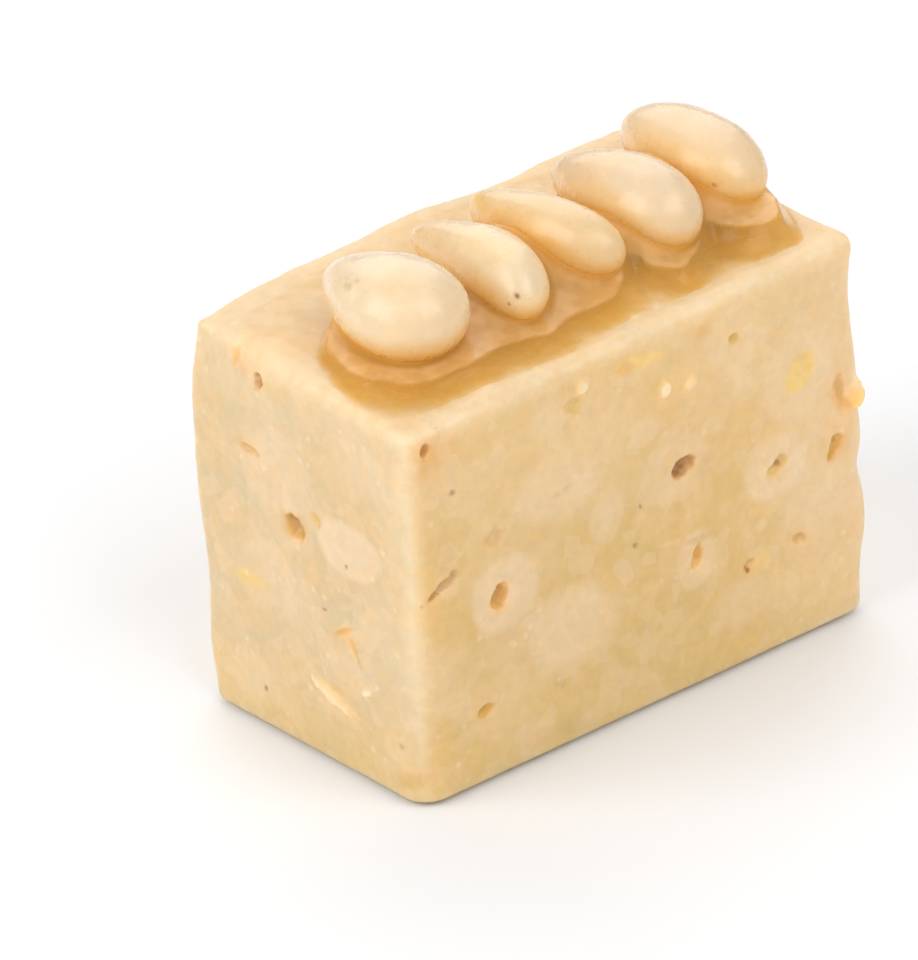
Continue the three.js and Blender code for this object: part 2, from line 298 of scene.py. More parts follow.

# Marks on the nuts: nut, way from its middle in its own frame, size, depth of the dent, colour, strength; the
# white marks on nuts 1 and 5 are painted highlights
NUT_MARKS = [
    # painted highlight in the dent
    (1, (-0.85, -0.02, 0.53), 0.16, 0.12, "white", 0.5),
    (1, (-0.78, 0.06, 0.62), 0.09, 0.0, "tan", 0.5),
    (1, (-0.64, -0.06, 0.76), 0.028, 0.0, "dark", 0.6),
    (2, (-0.33, -0.92, 0.2), 0.05, 0.03, "dark", 0.9),
    (2, (-0.49, -0.87, 0.04), 0.03, 0.0, "dark", 0.8),
    (2, (-0.6, -0.61, 0.52), 0.3, 0.14, "nut", 0.0),
    (3, (-0.51, 0.7, 0.49), 0.3, 0.0, "nut_tip", 0.75),
    (4, (-0.53, -0.29, 0.79), 0.3, 0.16, "white", 0.2),
    (4, (-0.84, -0.18, 0.52), 0.22, 0.12, "nut_deep", 0.4),
    (4, (-0.3, -0.75, 0.6), 0.26, 0.12, "nut", 0.0),
    (5, (-0.57, -0.8, 0.17), 0.035, 0.0, "dark", 0.6),
    # painted highlight on the lobe
    (5, (-0.6, -0.6, 0.52), 0.34, -0.1, "white", 0.15),
]

# Glaze: crease where its thick flat top ends, and the line where its film ends, both seen from above
GLAZE_CREASE = [
    (-14.8, 0), (-15.6, -2.2), (-15.5, -4.4), (-15, -5.7), (-13.6, -7.2), (-11.7, -7.6), (-9.9, -7.7),
    (-8.3, -7.5), (-5.7, -7.5), (-4.4, -7.7), (-2.2, -7), (0.2, -7.1), (1.5, -6.8), (2.7, -6.1),
    (4.1, -5.2), (5, -6.7), (6.3, -7.4), (8.1, -6.6), (10.3, -5.2), (11.2, -6.6), (12.6, -7.5),
    (13.9, -7.3), (15.2, -5.9), (16.2, -3.4), (16.7, -0.4), (16.5, 2.6), (15.4, 4.8), (13.4, 5.4),
    (10.8, 3.6), (7.9, 4.6), (4.9, 3.6), (2, 4.7), (-0.8, 3.3), (-3.8, 4.3), (-7.2, 1.3), (-10.4, 2.9),
    (-13.2, 1.6),
]
GLAZE_EDGE = [
    (-12.5, 8.3), (-14.4, 8.2), (-15.5, 7.2), (-15.9, 5.4), (-15.5, 3.2), (-15.4, 1), (-15.9, -1),
    (-16.6, -3.4), (-16.9, -5.6), (-16.4, -7.5), (-14.7, -8.6), (-11, -9), (-8.5, -9.2), (-4.9, -9.2),
    (-1.4, -8.9), (1.6, -8.6), (5.2, -8.6), (9.2, -8.4), (13.1, -8.5), (15.1, -8.1), (16.8, -5.1),
    (17.2, 0.1), (17, 5.1), (15.9, 9.4), (10, 9.9), (4, 9.9), (-3, 9.6), (-8, 9.4),
]

# Thickness of the film over the plain top, and how fast it thins towards its edge
GLAZE_FILM = 0.08
GLAZE_FADE = 0.45

# Width of the step at the crease, its share of the height, and how far the slope below it reaches, behind
# the nuts and in front of them
GLAZE_STEP = 0.8
GLAZE_DROP = 0.1
GLAZE_SKIRTS = (0.7, 2.0)

# How high the glaze climbs each nut, and how high and how wide it stands between two nuts
GLAZE_CLIMB, GLAZE_CLIMB_REACH = 0.3, 0.35
GLAZE_BETWEEN, GLAZE_BETWEEN_REACH = 2.3, 2.7

# How each nut's own height of glaze runs into the next
GLAZE_RUN = 2.4

# Depth of colour of the skirt, and what depth and the painted shade take from red, green and blue
GLAZE_DEEPEST = 0.4
GLAZE_ABSORBS = np.array([0.02, 0.2, 1.15])
GLAZE_SHADE_ABSORBS = np.array([0.12, 0.36, 0.7])

# How milky the glaze is on its flat top and on its skirt; the pale milky colour of the flat top is partly
# painted reflection
GLAZE_CLOUD = 0.7
GLAZE_SKIRT_CLOUD = 0.35

# The glaze's mesh: its cell, and how far its underside lies in the slab
GLAZE_CELL = 0.16
GLAZE_BELOW = 0.16

# Softboxes: azimuth, elevation, distance and size in metres, and power in watts; then the sky's strength
SOFTBOXES = [
    ("key", -102, 36, 0.5, (0.4, 0.4), 1.3),
    ("front", 8, 45, 0.5, (0.4, 0.4), 1.05),
    ("wall", 144, 40, 0.6, (0.6, 0.7), 1.65),
]
SKY = 0.38

# The floor: half its side in metres, and its colour in linear light
FLOOR_HALF = 1.5
FLOOR_COLOUR = np.array([0.97, 0.98, 1.0])

# Camera fitted to the block's corners: direction, roll, distance and sideways slide, aim, lens and sensor
CAMERA = dict(azimuth=-37.467, elevation=29.325, roll=-3.452, distance=292.16, slide=(-4.386, -2.63))
AIM = (0, 0, 15)
LENS = 180
SENSOR = 36


def linear(name):
    """A colour of the photograph in linear light."""
    share = np.array(SRGB[name]) / 255
    return np.where(share <= 0.04045, share / 12.92, ((share + 0.055) / 1.055) ** 2.4)


def smoothstep(values, low, high):
    share = np.clip((values - low) / (high - low), 0, 1)
    return share * share * (3 - 2 * share)


def blend(colours, colour, share):
    """Colours mixed towards one colour by a share for each point."""
    return colours + (colour - colours) * share[:, None]


# Seeded noise

def hashed(cells, seed):
    """A number from 0 to 1 for each row of three whole numbers, the same in every run."""
    x, y, z = (cells[..., i].astype(np.int64) & 0xFFFFF for i in range(3))
    mixed = (x * 73856093) ^ (y * 19349663) ^ (z * 83492791) ^ (seed * 40503)
    mixed = ((mixed ^ (mixed >> 15)) * 1274126177) & 0xFFFFFFFF
    mixed = ((mixed ^ (mixed >> 13)) * 668265263) & 0xFFFFFFFF
    return ((mixed ^ (mixed >> 16)) & 0xFFFFFF) / 0xFFFFFF


def noise(points, size, seed):
    """Smooth noise from -1 to 1 whose bumps are about size wide."""
    scaled = points / size
    cell = np.floor(scaled)
    part = scaled - cell
    part = part * part * (3 - 2 * part)
    total = np.zeros(len(points))
    for corner in np.ndindex(2, 2, 2):
        share = np.prod(np.where(corner, part, 1 - part), axis=-1)
        total += share * hashed(cell + corner, seed)
    return 2 * total - 1


def layered(points, size, seed, layers=3):
    """Noise with finer and fainter layers over the first."""
    return sum(noise(points, size / 2**i, seed + i) / 2**i for i in range(layers)) / (2 - 2 ** (1 - layers))


class Mulberry:
    """The small seeded generator that the part's source draws with."""

    def __init__(self, seed):
        self.state = seed

    def draw(self):
        self.state = (self.state + 0x6D2B79F5) & 0xFFFFFFFF
        t = self.state
        t = ((t ^ (t >> 15)) * (t | 1)) & 0xFFFFFFFF
        t ^= (t + (((t ^ (t >> 7)) * (t | 61)) & 0xFFFFFFFF)) & 0xFFFFFFFF
        return (t ^ (t >> 14)) / 4294967296


# The slab's surface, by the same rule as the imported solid

def unevenness(points):
    rise = np.zeros(len(points))
    for height, length, way, start in WAVES:
        rise += height * np.sin(2 * math.pi * points @ np.array(way) / length + start)
    for at, reach, height in SWELLS:
        far = np.linalg.norm(points - np.array(at), axis=1) / reach
        rise += height * np.exp(-far * far)
    return rise * smoothstep(points[:, 2], 0, 2 * FOOT_RADIUS)


def corner_move(points):
    shares = points / np.array([LENGTH, DEPTH, HEIGHT]) + np.array([0.5, 0.5, 0])
    move = np.zeros_like(points)
    for sign, corner in CORNERS:
        share = np.prod(np.where(np.array(sign) > 0, shares, 1 - shares), axis=1)
        move += share[:, None] * np.array(corner)
    return move


def to_surface(block):
    """Takes points of the square block's surface to the hand-cut slab; also gives the way out of it there."""
    up = block[:, 2] / HEIGHT
    wide = FOOT_RADIUS + (TOP_RADIUS - FOOT_RADIUS) * up
    high = FOOT_LIFT + (TOP_RADIUS - FOOT_LIFT) * up
    halves = np.stack([wide, wide, high], axis=1)
    middle = np.array([0, 0, HEIGHT / 2])
    reach = np.array([LENGTH, DEPTH, HEIGHT]) / 2 - halves
    core = np.clip(block - middle, -reach, reach) + middle
    out = (block - core) / halves
    out /= np.linalg.norm(out, axis=1)[:, None]
    points = core + out * halves
    points += out * unevenness(points)[:, None]
    return points + corner_move(points), out


def spot(block, face, at, half, turn):
    """Distance of the block's points from a spot on a face: 0 at its middle and 1 on its outline."""
    right, out, width = FACES[face]
    reach = (DEPTH if width == LENGTH else LENGTH) / 2
    across = block[:, :2] @ np.array(right) + width / 2 - at[0]
    up = block[:, 2] - at[1]
    behind = reach - block[:, :2] @ np.array(out)
    angle = math.radians(turn)
    along = (across * math.cos(angle) + up * math.sin(angle)) / half[0]
    beside = (up * math.cos(angle) - across * math.sin(angle)) / half[1]
    return np.sqrt(along**2 + beside**2 + (behind / half[1]) ** 2)


def spot_share(block, mark, wobble, inner, outer):
    """1 inside a mark and 0 outside, falling between two distances; wobble makes the outline uneven."""
    return 1 - smoothstep(spot(block, *mark) * (1 + wobble), inner, outer)


def drawn_pits():
    """Hollows of the two faces turned away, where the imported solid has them."""
    random = Mulberry(DRAWN_SEED)
    random.draw()

    def between(low, high):
        return low + (high - low) * random.draw()

    pits = []
    for face, count in DRAWN_PITS.items():
        room = FACES[face][2] - 2 * DRAWN_MARGIN
        for i in range(count):
            wide = between(*DRAWN_HALF)
            across = DRAWN_MARGIN + room * (i + random.draw()) / count
            up = between(DRAWN_MARGIN, HEIGHT - DRAWN_MARGIN)
            high = wide * between(*DRAWN_HALF)
            turn = 180 * random.draw()
            deep = between(*DRAWN_DEEP)
            # colour inside and strength of the painted shadow in the upper part
            tone, shade = (("amber", 0.3), ("olive", 0.2), ("tan", 0.0))[i % 3]
            pits.append((face, (across, up), (wide, high), turn, deep, tone, shade))
    return pits


def drawn_sections(pits):
    """Cut pieces of nut on the faces turned away: one round each large hollow, and some between."""
    random = np.random.RandomState(DRAWN_SEED)
    sections = [
        (face, at, (wide * 3.0, high * 3.4), turn, 0.8, 0.2)
        for face, at, (wide, high), turn, *_ in pits
        if wide > 0.6
    ]
    for face, count in DRAWN_PITS.items():
        for _ in range(count):
            at = random.uniform(SECTION_MARGIN, np.array([FACES[face][2], HEIGHT]) - SECTION_MARGIN)
            half = random.uniform(1.0, 3.2, 2)
            turn, clear = random.uniform((0, 0.4), (180, 0.9))
            sections.append((face, tuple(at), tuple(half), turn, clear, 0.3))
    return sections


def drawn_stains():
    """Coloured stains of the faces turned away."""
    random = np.random.RandomState(DRAWN_SEED + 1)
    stains = []
    for face, count in DRAWN_PITS.items():
        for i in range(count):
            at = random.uniform(SECTION_MARGIN, np.array([FACES[face][2], HEIGHT]) - SECTION_MARGIN)
            half = random.uniform(0.4, 1.4, 2)
            tone = ("gold", "orange", "olive", "tan")[i % 4]
            stains.append((face, tuple(at), tuple(half), random.uniform(0, 180), tone, 0.5, 0.6))
    return stains


DRAWN = drawn_pits()
ALL_PITS = PITS + DRAWN
ALL_SECTIONS = SECTIONS + drawn_sections(DRAWN)
ALL_STAINS = STAINS + drawn_stains()


def box_lattice(cell):
    """Points and outward quads of the block's whole surface."""
    sides = np.array([LENGTH, DEPTH, HEIGHT])
    counts = np.round(sides / cell).astype(int)
    quads = []
    for axis in range(3):
        u, v = (axis + 1) % 3, (axis + 2) % 3
        along, up = np.meshgrid(np.arange(counts[u]), np.arange(counts[v]), indexing="ij")
        for end in (0, counts[axis]):
            corners = np.empty(along.shape + (4, 3), int)
            corners[..., axis] = end
            for i, (step_u, step_v) in enumerate(((0, 0), (1, 0), (1, 1), (0, 1))):
                corners[..., i, u] = along + step_u
                corners[..., i, v] = up + step_v
            quad = corners.reshape(-1, 4, 3)
            quads.append(quad[:, ::-1] if end == 0 else quad)
    places, index = np.unique(np.concatenate(quads).reshape(-1, 3), axis=0, return_inverse=True)
    return places * sides / counts - np.array([LENGTH / 2, DEPTH / 2, 0]), index.reshape(-1, 4)


def face_middles(bm):
    return np.array([face.calc_center_median() for face in bm.faces])


def refine(bm, chosen):
    """Cuts the chosen faces in four."""
    bm.faces.ensure_lookup_table()
    edges = {edge for i in np.flatnonzero(chosen) for edge in bm.faces[i].edges}
    bmesh.ops.subdivide_edges(bm, edges=list(edges), cuts=1, use_grid_fill=True)


def near_front(points, band=ON_FACE):
    return points[:, 1] < -DEPTH / 2 + band


def near_left(points, band=ON_FACE):
    return points[:, 0] < -LENGTH / 2 + band


def slab_lattice():
    """Mesh of the block: one face under its middle, and fine cells on the faces that show."""
    points, quads = box_lattice(COARSE_CELL)
    mesh = bpy.data.meshes.new("lattice")
    mesh.from_pydata(points, [], quads)
    bm = bmesh.new()
    bm.from_mesh(mesh)
    middles = face_middles(bm)
    inside = np.abs(middles[:, :2]) < np.array([LENGTH, DEPTH]) / 2 - FOOT_RADIUS - COARSE_CELL
    flat = (middles[:, 2] < ON_FACE) & inside.all(axis=1)
    bm.faces.ensure_lookup_table()
    bmesh.ops.dissolve_faces(bm, faces=[bm.faces[i] for i in np.flatnonzero(flat)], use_verts=True)
    middles = face_middles(bm)
    rim = (middles[:, 2] > HEIGHT - ON_FACE) & (near_front(middles, RIM_BAND) | near_left(middles, RIM_BAND))
    refine(bm, near_front(middles) | near_left(middles) | rim)
    middles = face_middles(bm)
    near = np.zeros(len(middles), bool)
    for face, at, half, turn, *_ in PITS + CRUMBS:
        near |= spot(middles, face, at, (half[0] + 0.3, half[1] + 0.3), turn) < 1
    refine(bm, near & (middles[:, 2] > ON_FACE))
    bm.to_mesh(mesh)
    bm.free()
    return mesh


def mark_wobble(block):
    """Unevenness of the outlines of the hollows and crumbs."""
    return 0.7 * layered(block, 0.8, 3)


def stain_wobble(block):
    """Unevenness of the outlines of the stains."""
    return 0.3 * layered(block + 4, 1.1, 3)


def piece_wobble(block):
    """Unevenness of the outlines of the cut pieces of nut."""
    return 0.16 * layered(block + 9, 2.4, 5)


def slab_form(block):
    """Places of the slab's points with hollows, crumbs, the smooth cut nuts and grain."""
    points, out = to_surface(block)
    wobble = mark_wobble(block)
    sunk = np.zeros(len(block))
    for *mark, deep, _, _ in ALL_PITS:
        sunk = np.maximum(sunk, PIT_SHARE * deep * spot_share(block, mark, wobble, 0.3, 1.1))
    raised = np.zeros(len(block))
    for *mark, rise, _ in CRUMBS:
        raised = np.maximum(raised, rise * spot_share(block, mark, wobble, 0.5, 1.1))
    smooth = np.zeros(len(block))
    wobble = piece_wobble(block)
    for *mark, clear, soft in ALL_SECTIONS:
        smooth = np.maximum(smooth, min(clear, 1) * spot_share(block, mark, wobble, 1 - soft, 1 + soft))
    grain = 0.04 * layered(block, 1.3, 11) + 0.022 * noise(block, 0.42, 17)
    dents = 0.07 * layered(block, 4.2, 13)
    rise = raised + dents + grain * (1 - 0.6 * smooth) + 0.02 * smooth
    rise *= smoothstep(points[:, 2], 0, 1.2)
    level = points[:, 2] < 0.001
    points = points + out * (rise * ~level)[:, None]
    inward = np.zeros_like(points)
    for _, way, _ in FACES.values():
        inward[:, :2] -= np.array(way) * np.clip(out[:, :2] @ np.array(way), 0, 1)[:, None]
    inward /= np.maximum(np.linalg.norm(inward, axis=1), 1)[:, None]
    return points + inward * sunk[:, None]


def edge_nearness(block):
    """1 on the block's edges and 0 on its faces: how near a point is to leaving its face for the next."""
    gaps = np.abs(np.array([LENGTH, DEPTH, HEIGHT]) / 2 - np.abs(block - np.array([0, 0, HEIGHT / 2])))
    second = np.sort(gaps, axis=1)[:, 1]
    return 1 - smoothstep(second, 0, EDGE_BAND)


def ground_paint(block, left):
    """Colour of the plain paste in slow zones, warmer at the foot, with painted light on the left face,
    painted shade on the top, and a pinker right end and top that are partly painted light.
    """
    zone = layered(block + 40, 6.0, 21)
    low = 1 - smoothstep(block[:, 2] + 1.5 * zone, 1, 7)
    # Paler and pinker towards the right end and the top: partly the paste's own tone, partly painted light
    # where more light falls
    end = np.maximum(smoothstep(block[:, 0] + 1.5 * zone, 8, 15), 0.4 * smoothstep(block[:, 2], 12, 22))
    colours = np.tile(linear("paste"), (len(block), 1))
    # The left face is painted paler: painted light
    colours = blend(colours, linear("paste_left_painted_light"), left * 0.85)
    # The top face is painted darker: painted shade
    colours = blend(colours, linear("paste_top_painted_shade"), smoothstep(block[:, 2], HEIGHT - 0.7, HEIGHT))
    colours = blend(colours, linear("paste_warm"), smoothstep(zone, 0.0, 0.5) * 0.45)
    colours = blend(colours, linear("paste_pink"), smoothstep(-zone, 0.0, 0.5) * 0.45)
    colours = blend(colours, linear("paste_low"), low * 0.6)
    return blend(colours, linear("paste_pink"), end * 0.75 * ~left)


def marks_paint(block, colours):
    """Colours with the cut pieces of nut, stains, crumbs, hollows and dots over them."""
    wobble = piece_wobble(block)
    for *mark, clear, soft in ALL_SECTIONS:
        share = spot_share(block, mark, wobble, 1 - soft, 1 + soft)
        colours = blend(colours, linear("flesh"), 0.7 * clear * share)
    wobble = stain_wobble(block)
    for *mark, tone, strength, soft in ALL_STAINS:
        share = spot_share(block, mark, wobble, 1 - soft, 1 + soft)
        colours = blend(colours, linear(tone), strength * share)
    wobble = mark_wobble(block)
    for *mark, _, tone in CRUMBS:
        colours = blend(colours, linear(tone), 0.85 * spot_share(block, mark, wobble, 0.4, 0.8))
    for *mark, _, tone, shade in ALL_PITS:
        face, at, half, turn = mark
        # Painted shadow: umber over the upper part of each hollow, where shade falls
        painted_shadow_spot = (face, (at[0] - 0.1 * half[0], at[1] + 0.25 * half[1]), half, turn)
        colours = blend(colours, linear("orange"), 0.22 * spot_share(block, mark, wobble, 0.9, 1.5))
        colours = blend(colours, linear(tone), 0.9 * spot_share(block, mark, wobble, 0.7, 1.1))
        colours = blend(colours, linear("umber"), shade * spot_share(block, painted_shadow_spot, wobble, 0.2, 0.9))
    for face, at, size in DOTS:
        mark = (face, at, (size, size), 0)
        colours = blend(colours, linear("dark"), 0.8 * spot_share(block, mark, 0, 0.5, 1.3))
    return colours


def soaked_share(block):
    """How far the glaze has soaked into the top at each point."""
    on_top = block[:, 2] > HEIGHT - ON_FACE
    points, _ = to_surface(block[on_top])
    glaze = glaze_form(points[:, :2])
    share = np.zeros(len(block))
    share[on_top] = smoothstep(glaze["edge"], -0.3, 0.5) * (0.6 + 0.3 * smoothstep(glaze["deep"], 0.2, 0.6))
    return share


def painted_face_shade(block, left):
    """Painted shade: how much darker the two faces that show are, away from their shared edge."""
    x, y, z = block.T
    near_edge = 1 - smoothstep(y, -9.5, -6.5)
    across = smoothstep(x, -17, -14) * (1 - smoothstep(x, 2, 12))
    shade = np.where(left, LEFT_SHADE * (1 - smoothstep(z, 19, 25)) * (1 - near_edge), 0)
    return shade + np.where(near_front(block), FRONT_SHADE * across * (1 - smoothstep(z, 15, 22)), 0)


def slab_paint(block):
    """Colour of the paste at each point, in linear light."""
    left = near_left(block)
    colours = marks_paint(block, ground_paint(block, left))
    # Painted highlight along the edges, partly paler smeared paste
    colours = blend(colours, linear("rim"), 0.6 * edge_nearness(block) * smoothstep(block[:, 2], -3, 9))
    colours = blend(colours, linear("soaked"), soaked_share(block))
    # The faces that show are darkened by painted shade
    return colours * (1 - painted_face_shade(block, left)[:, None])


# Materials

class Shader:
    """Adds and links the nodes of one material; positions come in millimetres."""

    def __init__(self, name):
        self.material = bpy.data.materials.new(name)
        self.material.use_nodes = True
        self.tree = self.material.node_tree
        self.tree.nodes.clear()
        self.output = self.tree.nodes.new("ShaderNodeOutputMaterial")
        place = self.tree.nodes.new("ShaderNodeTexCoord").outputs["Object"]
        scaled = self.node("ShaderNodeVectorMath", {"Vector": place, "Scale": 1 / MM}, operation="SCALE")
        self.place = scaled.outputs[0]

    def node(self, kind, inputs=None, **settings):
        made = self.tree.nodes.new(kind)
        for name, value in settings.items():
            setattr(made, name, value)
        for name, value in (inputs or {}).items():
            self.feed(made.inputs[name], value)
        return made

    def feed(self, socket, value):
        if isinstance(value, bpy.types.NodeSocket):
            self.tree.links.new(value, socket)
        else:
            socket.default_value = value

    def noise(self, size, detail=2.0, roughness=0.5):
        """Noise from 0 to 1 with bumps about size millimetres wide."""
        inputs = {"Vector": self.place, "Scale": 1 / size, "Detail": detail, "Roughness": roughness}
        return self.node("ShaderNodeTexNoise", inputs).outputs["Fac"]

    def cells(self, size, output):
        """Random cells about size millimetres wide."""
        inputs = {"Vector": self.place, "Scale": 1 / size}
        return self.node("ShaderNodeTexVoronoi", inputs).outputs[output]

    def ramp(self, value, low, high, start=0.0, end=1.0):
        """Takes low..high of a value to start..end."""
        inputs = {"Value": value, "From Min": low, "From Max": high, "To Min": start, "To Max": end}
        return self.node("ShaderNodeMapRange", inputs).outputs[0]

    def math(self, operation, first, second):
        made = self.node("ShaderNodeMath", operation=operation)
        self.feed(made.inputs[0], first)
        self.feed(made.inputs[1], second)
        return made.outputs[0]

    def mix(self, share, first, second, blend_type="MIX"):
        made = self.node("ShaderNodeMix", data_type="RGBA", blend_type=blend_type)
        self.feed(made.inputs[0], share)
        self.feed(made.inputs[6], first)
        self.feed(made.inputs[7], second)
        return made.outputs[2]

    def toned(self, colour, tone):
        """The colour times a grey tone."""
        grey = self.node("ShaderNodeCombineColor", {0: tone, 1: tone, 2: tone}).outputs[0]
        return self.mix(1.0, colour, grey, "MULTIPLY")

    def mix_shaders(self, share, first, second):
        mixed = self.node("ShaderNodeMixShader", {0: share})
        self.tree.links.new(first.outputs[0], mixed.inputs[1])
        self.tree.links.new(second.outputs[0], mixed.inputs[2])
        return mixed

    def attribute(self, name):
        return self.node("ShaderNodeAttribute", attribute_name=name).outputs["Color"]

    def bump(self, height, distance):
        """Normal of a relief whose full height is distance millimetres."""
        inputs = {"Height": height, "Distance": distance * MM, "Strength": 1.0}
        return self.node("ShaderNodeBump", inputs).outputs[0]

    def finish(self, shader):
        self.tree.links.new(shader, self.output.inputs["Surface"])
        return self.material


def colour4(name):
    return (*linear(name), 1.0)


def paste_material():
    s = Shader("almond_paste")
    colour = s.attribute("paint")
    patch = s.ramp(s.noise(2.4, 2), 0.45, 0.6, 0.0, 0.3)
    colour = s.mix(patch, colour, colour4("paste_pink"))
    pale = s.ramp(s.cells(1.25, "Color"), 0.58, 0.72, 0.0, 0.22)
    colour = s.mix(pale, colour, colour4("flesh"))
    chosen = s.ramp(s.cells(1.1, "Color"), 0.5, 0.6)
    fleck = s.math("MULTIPLY", chosen, s.ramp(s.cells(1.1, "Distance"), 0.06, 0.26, 0.4, 0.0))
    colour = s.mix(fleck, colour, colour4("white"))
    warm = s.ramp(s.cells(0.8, "Color"), 0.6, 0.75, 0.0, 0.22)
    colour = s.mix(warm, colour, colour4("paste_warm"))
    colour = s.toned(colour, s.ramp(s.noise(0.8, 4, 0.6), 0.3, 0.7, 0.96, 1.04))
    relief = s.math("ADD", s.noise(0.6, 4, 0.6), s.math("MULTIPLY", s.cells(0.8, "Distance"), 0.4))
    shader = s.node(
        "ShaderNodeBsdfPrincipled",
        {
            "Base Color": colour,
            "Roughness": s.ramp(s.noise(1.5, 2), 0.3, 0.7, 0.34, 0.52),
            "Specular IOR Level": 0.5,
            "Subsurface Weight": 1.0,
            "Subsurface Radius": (1.0, 0.55, 0.28),
            "Subsurface Scale": 2.2 * MM,
            "Normal": s.bump(relief, 0.045),
        },
    )
    shader.subsurface_method = "BURLEY"
    return s.finish(shader.outputs[0])


def nut_material():
    s = Shader("pine_nut")
    colour = s.attribute("paint")
    colour = s.toned(colour, s.ramp(s.noise(1.6, 3), 0.3, 0.7, 0.97, 1.03))
    relief = s.noise(1.6, 1)
    shader = s.node(
        "ShaderNodeBsdfPrincipled",
        {
            "Base Color": colour,
            "Roughness": s.ramp(s.noise(0.9, 2), 0.3, 0.7, 0.24, 0.36),
            "Specular IOR Level": 0.5,
            "Subsurface Weight": 1.0,
            "Subsurface Radius": (1.0, 0.62, 0.34),
            "Subsurface Scale": 2.8 * MM,
            "Coat Weight": 0.3,
            "Coat Roughness": 0.18,
            "Normal": s.bump(relief, 0.02),
        },
    )
    shader.subsurface_method = "BURLEY"
    return s.finish(shader.outputs[0])


def glaze_material():
    s = Shader("glaze")
    relief = s.math("ADD", s.noise(1.1, 3), s.math("MULTIPLY", s.noise(0.4, 2), 0.3))
    normal = s.bump(relief, 0.05)
    parts = s.node("ShaderNodeSeparateColor", {0: s.attribute("parts")})
    cloud, wet = parts.outputs[0], parts.outputs[1]
    clear = s.node("ShaderNodeBsdfTransparent", {"Color": s.attribute("tint")})
    # Milky layer; its pale colour on the open flat top is partly painted reflection
    milky = s.node("ShaderNodeBsdfDiffuse", {"Color": s.attribute("milk"), "Normal": normal})
    gloss = s.node("ShaderNodeBsdfGlossy", {"Color": (1, 1, 1, 1), "Roughness": 0.15, "Normal": normal})
    facing = s.node("ShaderNodeLayerWeight", {"Blend": 0.5, "Normal": normal}).outputs["Facing"]
    mirrored = s.math("MULTIPLY", wet, s.ramp(s.math("POWER", facing, 3.8), 0, 1, 0.025, 1))
    body = s.mix_shaders(cloud, clear, milky)
    return s.finish(s.mix_shaders(mirrored, body, gloss).outputs[0])


# Pieces

def add_colours(mesh, name, colours):
    layer = mesh.attributes.new(name, "FLOAT_COLOR", "POINT")
    layer.data.foreach_set("color", np.column_stack([colours, np.ones(len(colours))]).ravel())


def add_piece(name, mesh, points, material):
    """Places the mesh's points, given in the block's millimetres, and adds the piece to the scene."""
    mesh.vertices.foreach_set("co", ((points + STAND) * MM).ravel())
    mesh.polygons.foreach_set("use_smooth", np.ones(len(mesh.polygons), bool))
    mesh.materials.append(material)
    mesh.update()
    piece = bpy.data.objects.new(name, mesh)
    bpy.context.scene.collection.objects.link(piece)
    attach(piece, "root")
    return piece


def mesh_points(mesh):
    points = np.empty(len(mesh.vertices) * 3)
    mesh.vertices.foreach_get("co", points)
    return points.reshape(-1, 3)


def make_slab():
    mesh = slab_lattice()
    mesh.name = "paste_slab"
    block = mesh_points(mesh)
    points = slab_form(block)
    add_colours(mesh, "paint", slab_paint(block))
    piece = add_piece("paste_slab", mesh, points, paste_material())
    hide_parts("slab")


def nut_shape(nut, ball):
    """Places of a unit ball's points on a nut: an egg along Y, bent sideways, laid on the slab's top."""
    width, length, thick = nut["size"]
    taper = nut["taper"]
    widest = (math.sqrt(1 + 8 * taper**2) - 1) / (4 * taper)
    full = math.sqrt(1 - widest**2) * (1 + taper * widest)
    blunt = -ball[:, 1]
    swell = (1 + taper * blunt) / full
    local = np.column_stack(
        [
            ball[:, 0] * swell * width / 2 + nut["bend"] * (blunt**2 - BEND_CENTRE),
            ball[:, 1] * length / 2,
            ball[:, 2] * swell * thick / 2,
        ]
    )
    turn = Matrix.Rotation(math.radians(nut["turn"]), 3, "Z")
    dip = Matrix.Rotation(math.radians(nut["dip"]), 3, "X")
    place = np.array([*nut["at"], HEIGHT - nut["sink"] + thick / 2])
    return local @ np.array(turn @ dip).T + place


def unit_ball():
    """Points and faces of a ball whose poles lie on Y."""
    rings = np.arange(1, NUT_RINGS) * math.pi / NUT_RINGS
    spokes = np.arange(NUT_SPOKES) * 2 * math.pi / NUT_SPOKES
    ring, spoke = np.meshgrid(rings, spokes, indexing="ij")
    middle = np.stack([np.sin(ring) * np.cos(spoke), np.cos(ring), np.sin(ring) * np.sin(spoke)], axis=-1)
    points = np.concatenate([[[0, 1, 0]], middle.reshape(-1, 3), [[0, -1, 0]]])
    last = len(points) - 1
    faces = []
    for j in range(NUT_SPOKES):
        k = (j + 1) % NUT_SPOKES
        faces.append((0, 1 + k, 1 + j))
        for i in range(NUT_RINGS - 2):
            a, b = 1 + i * NUT_SPOKES, 1 + (i + 1) * NUT_SPOKES
            faces.append((a + j, a + k, b + k, b + j))
        final = 1 + (NUT_RINGS - 2) * NUT_SPOKES
        faces.append((final + j, final + k, last))
    return points, faces


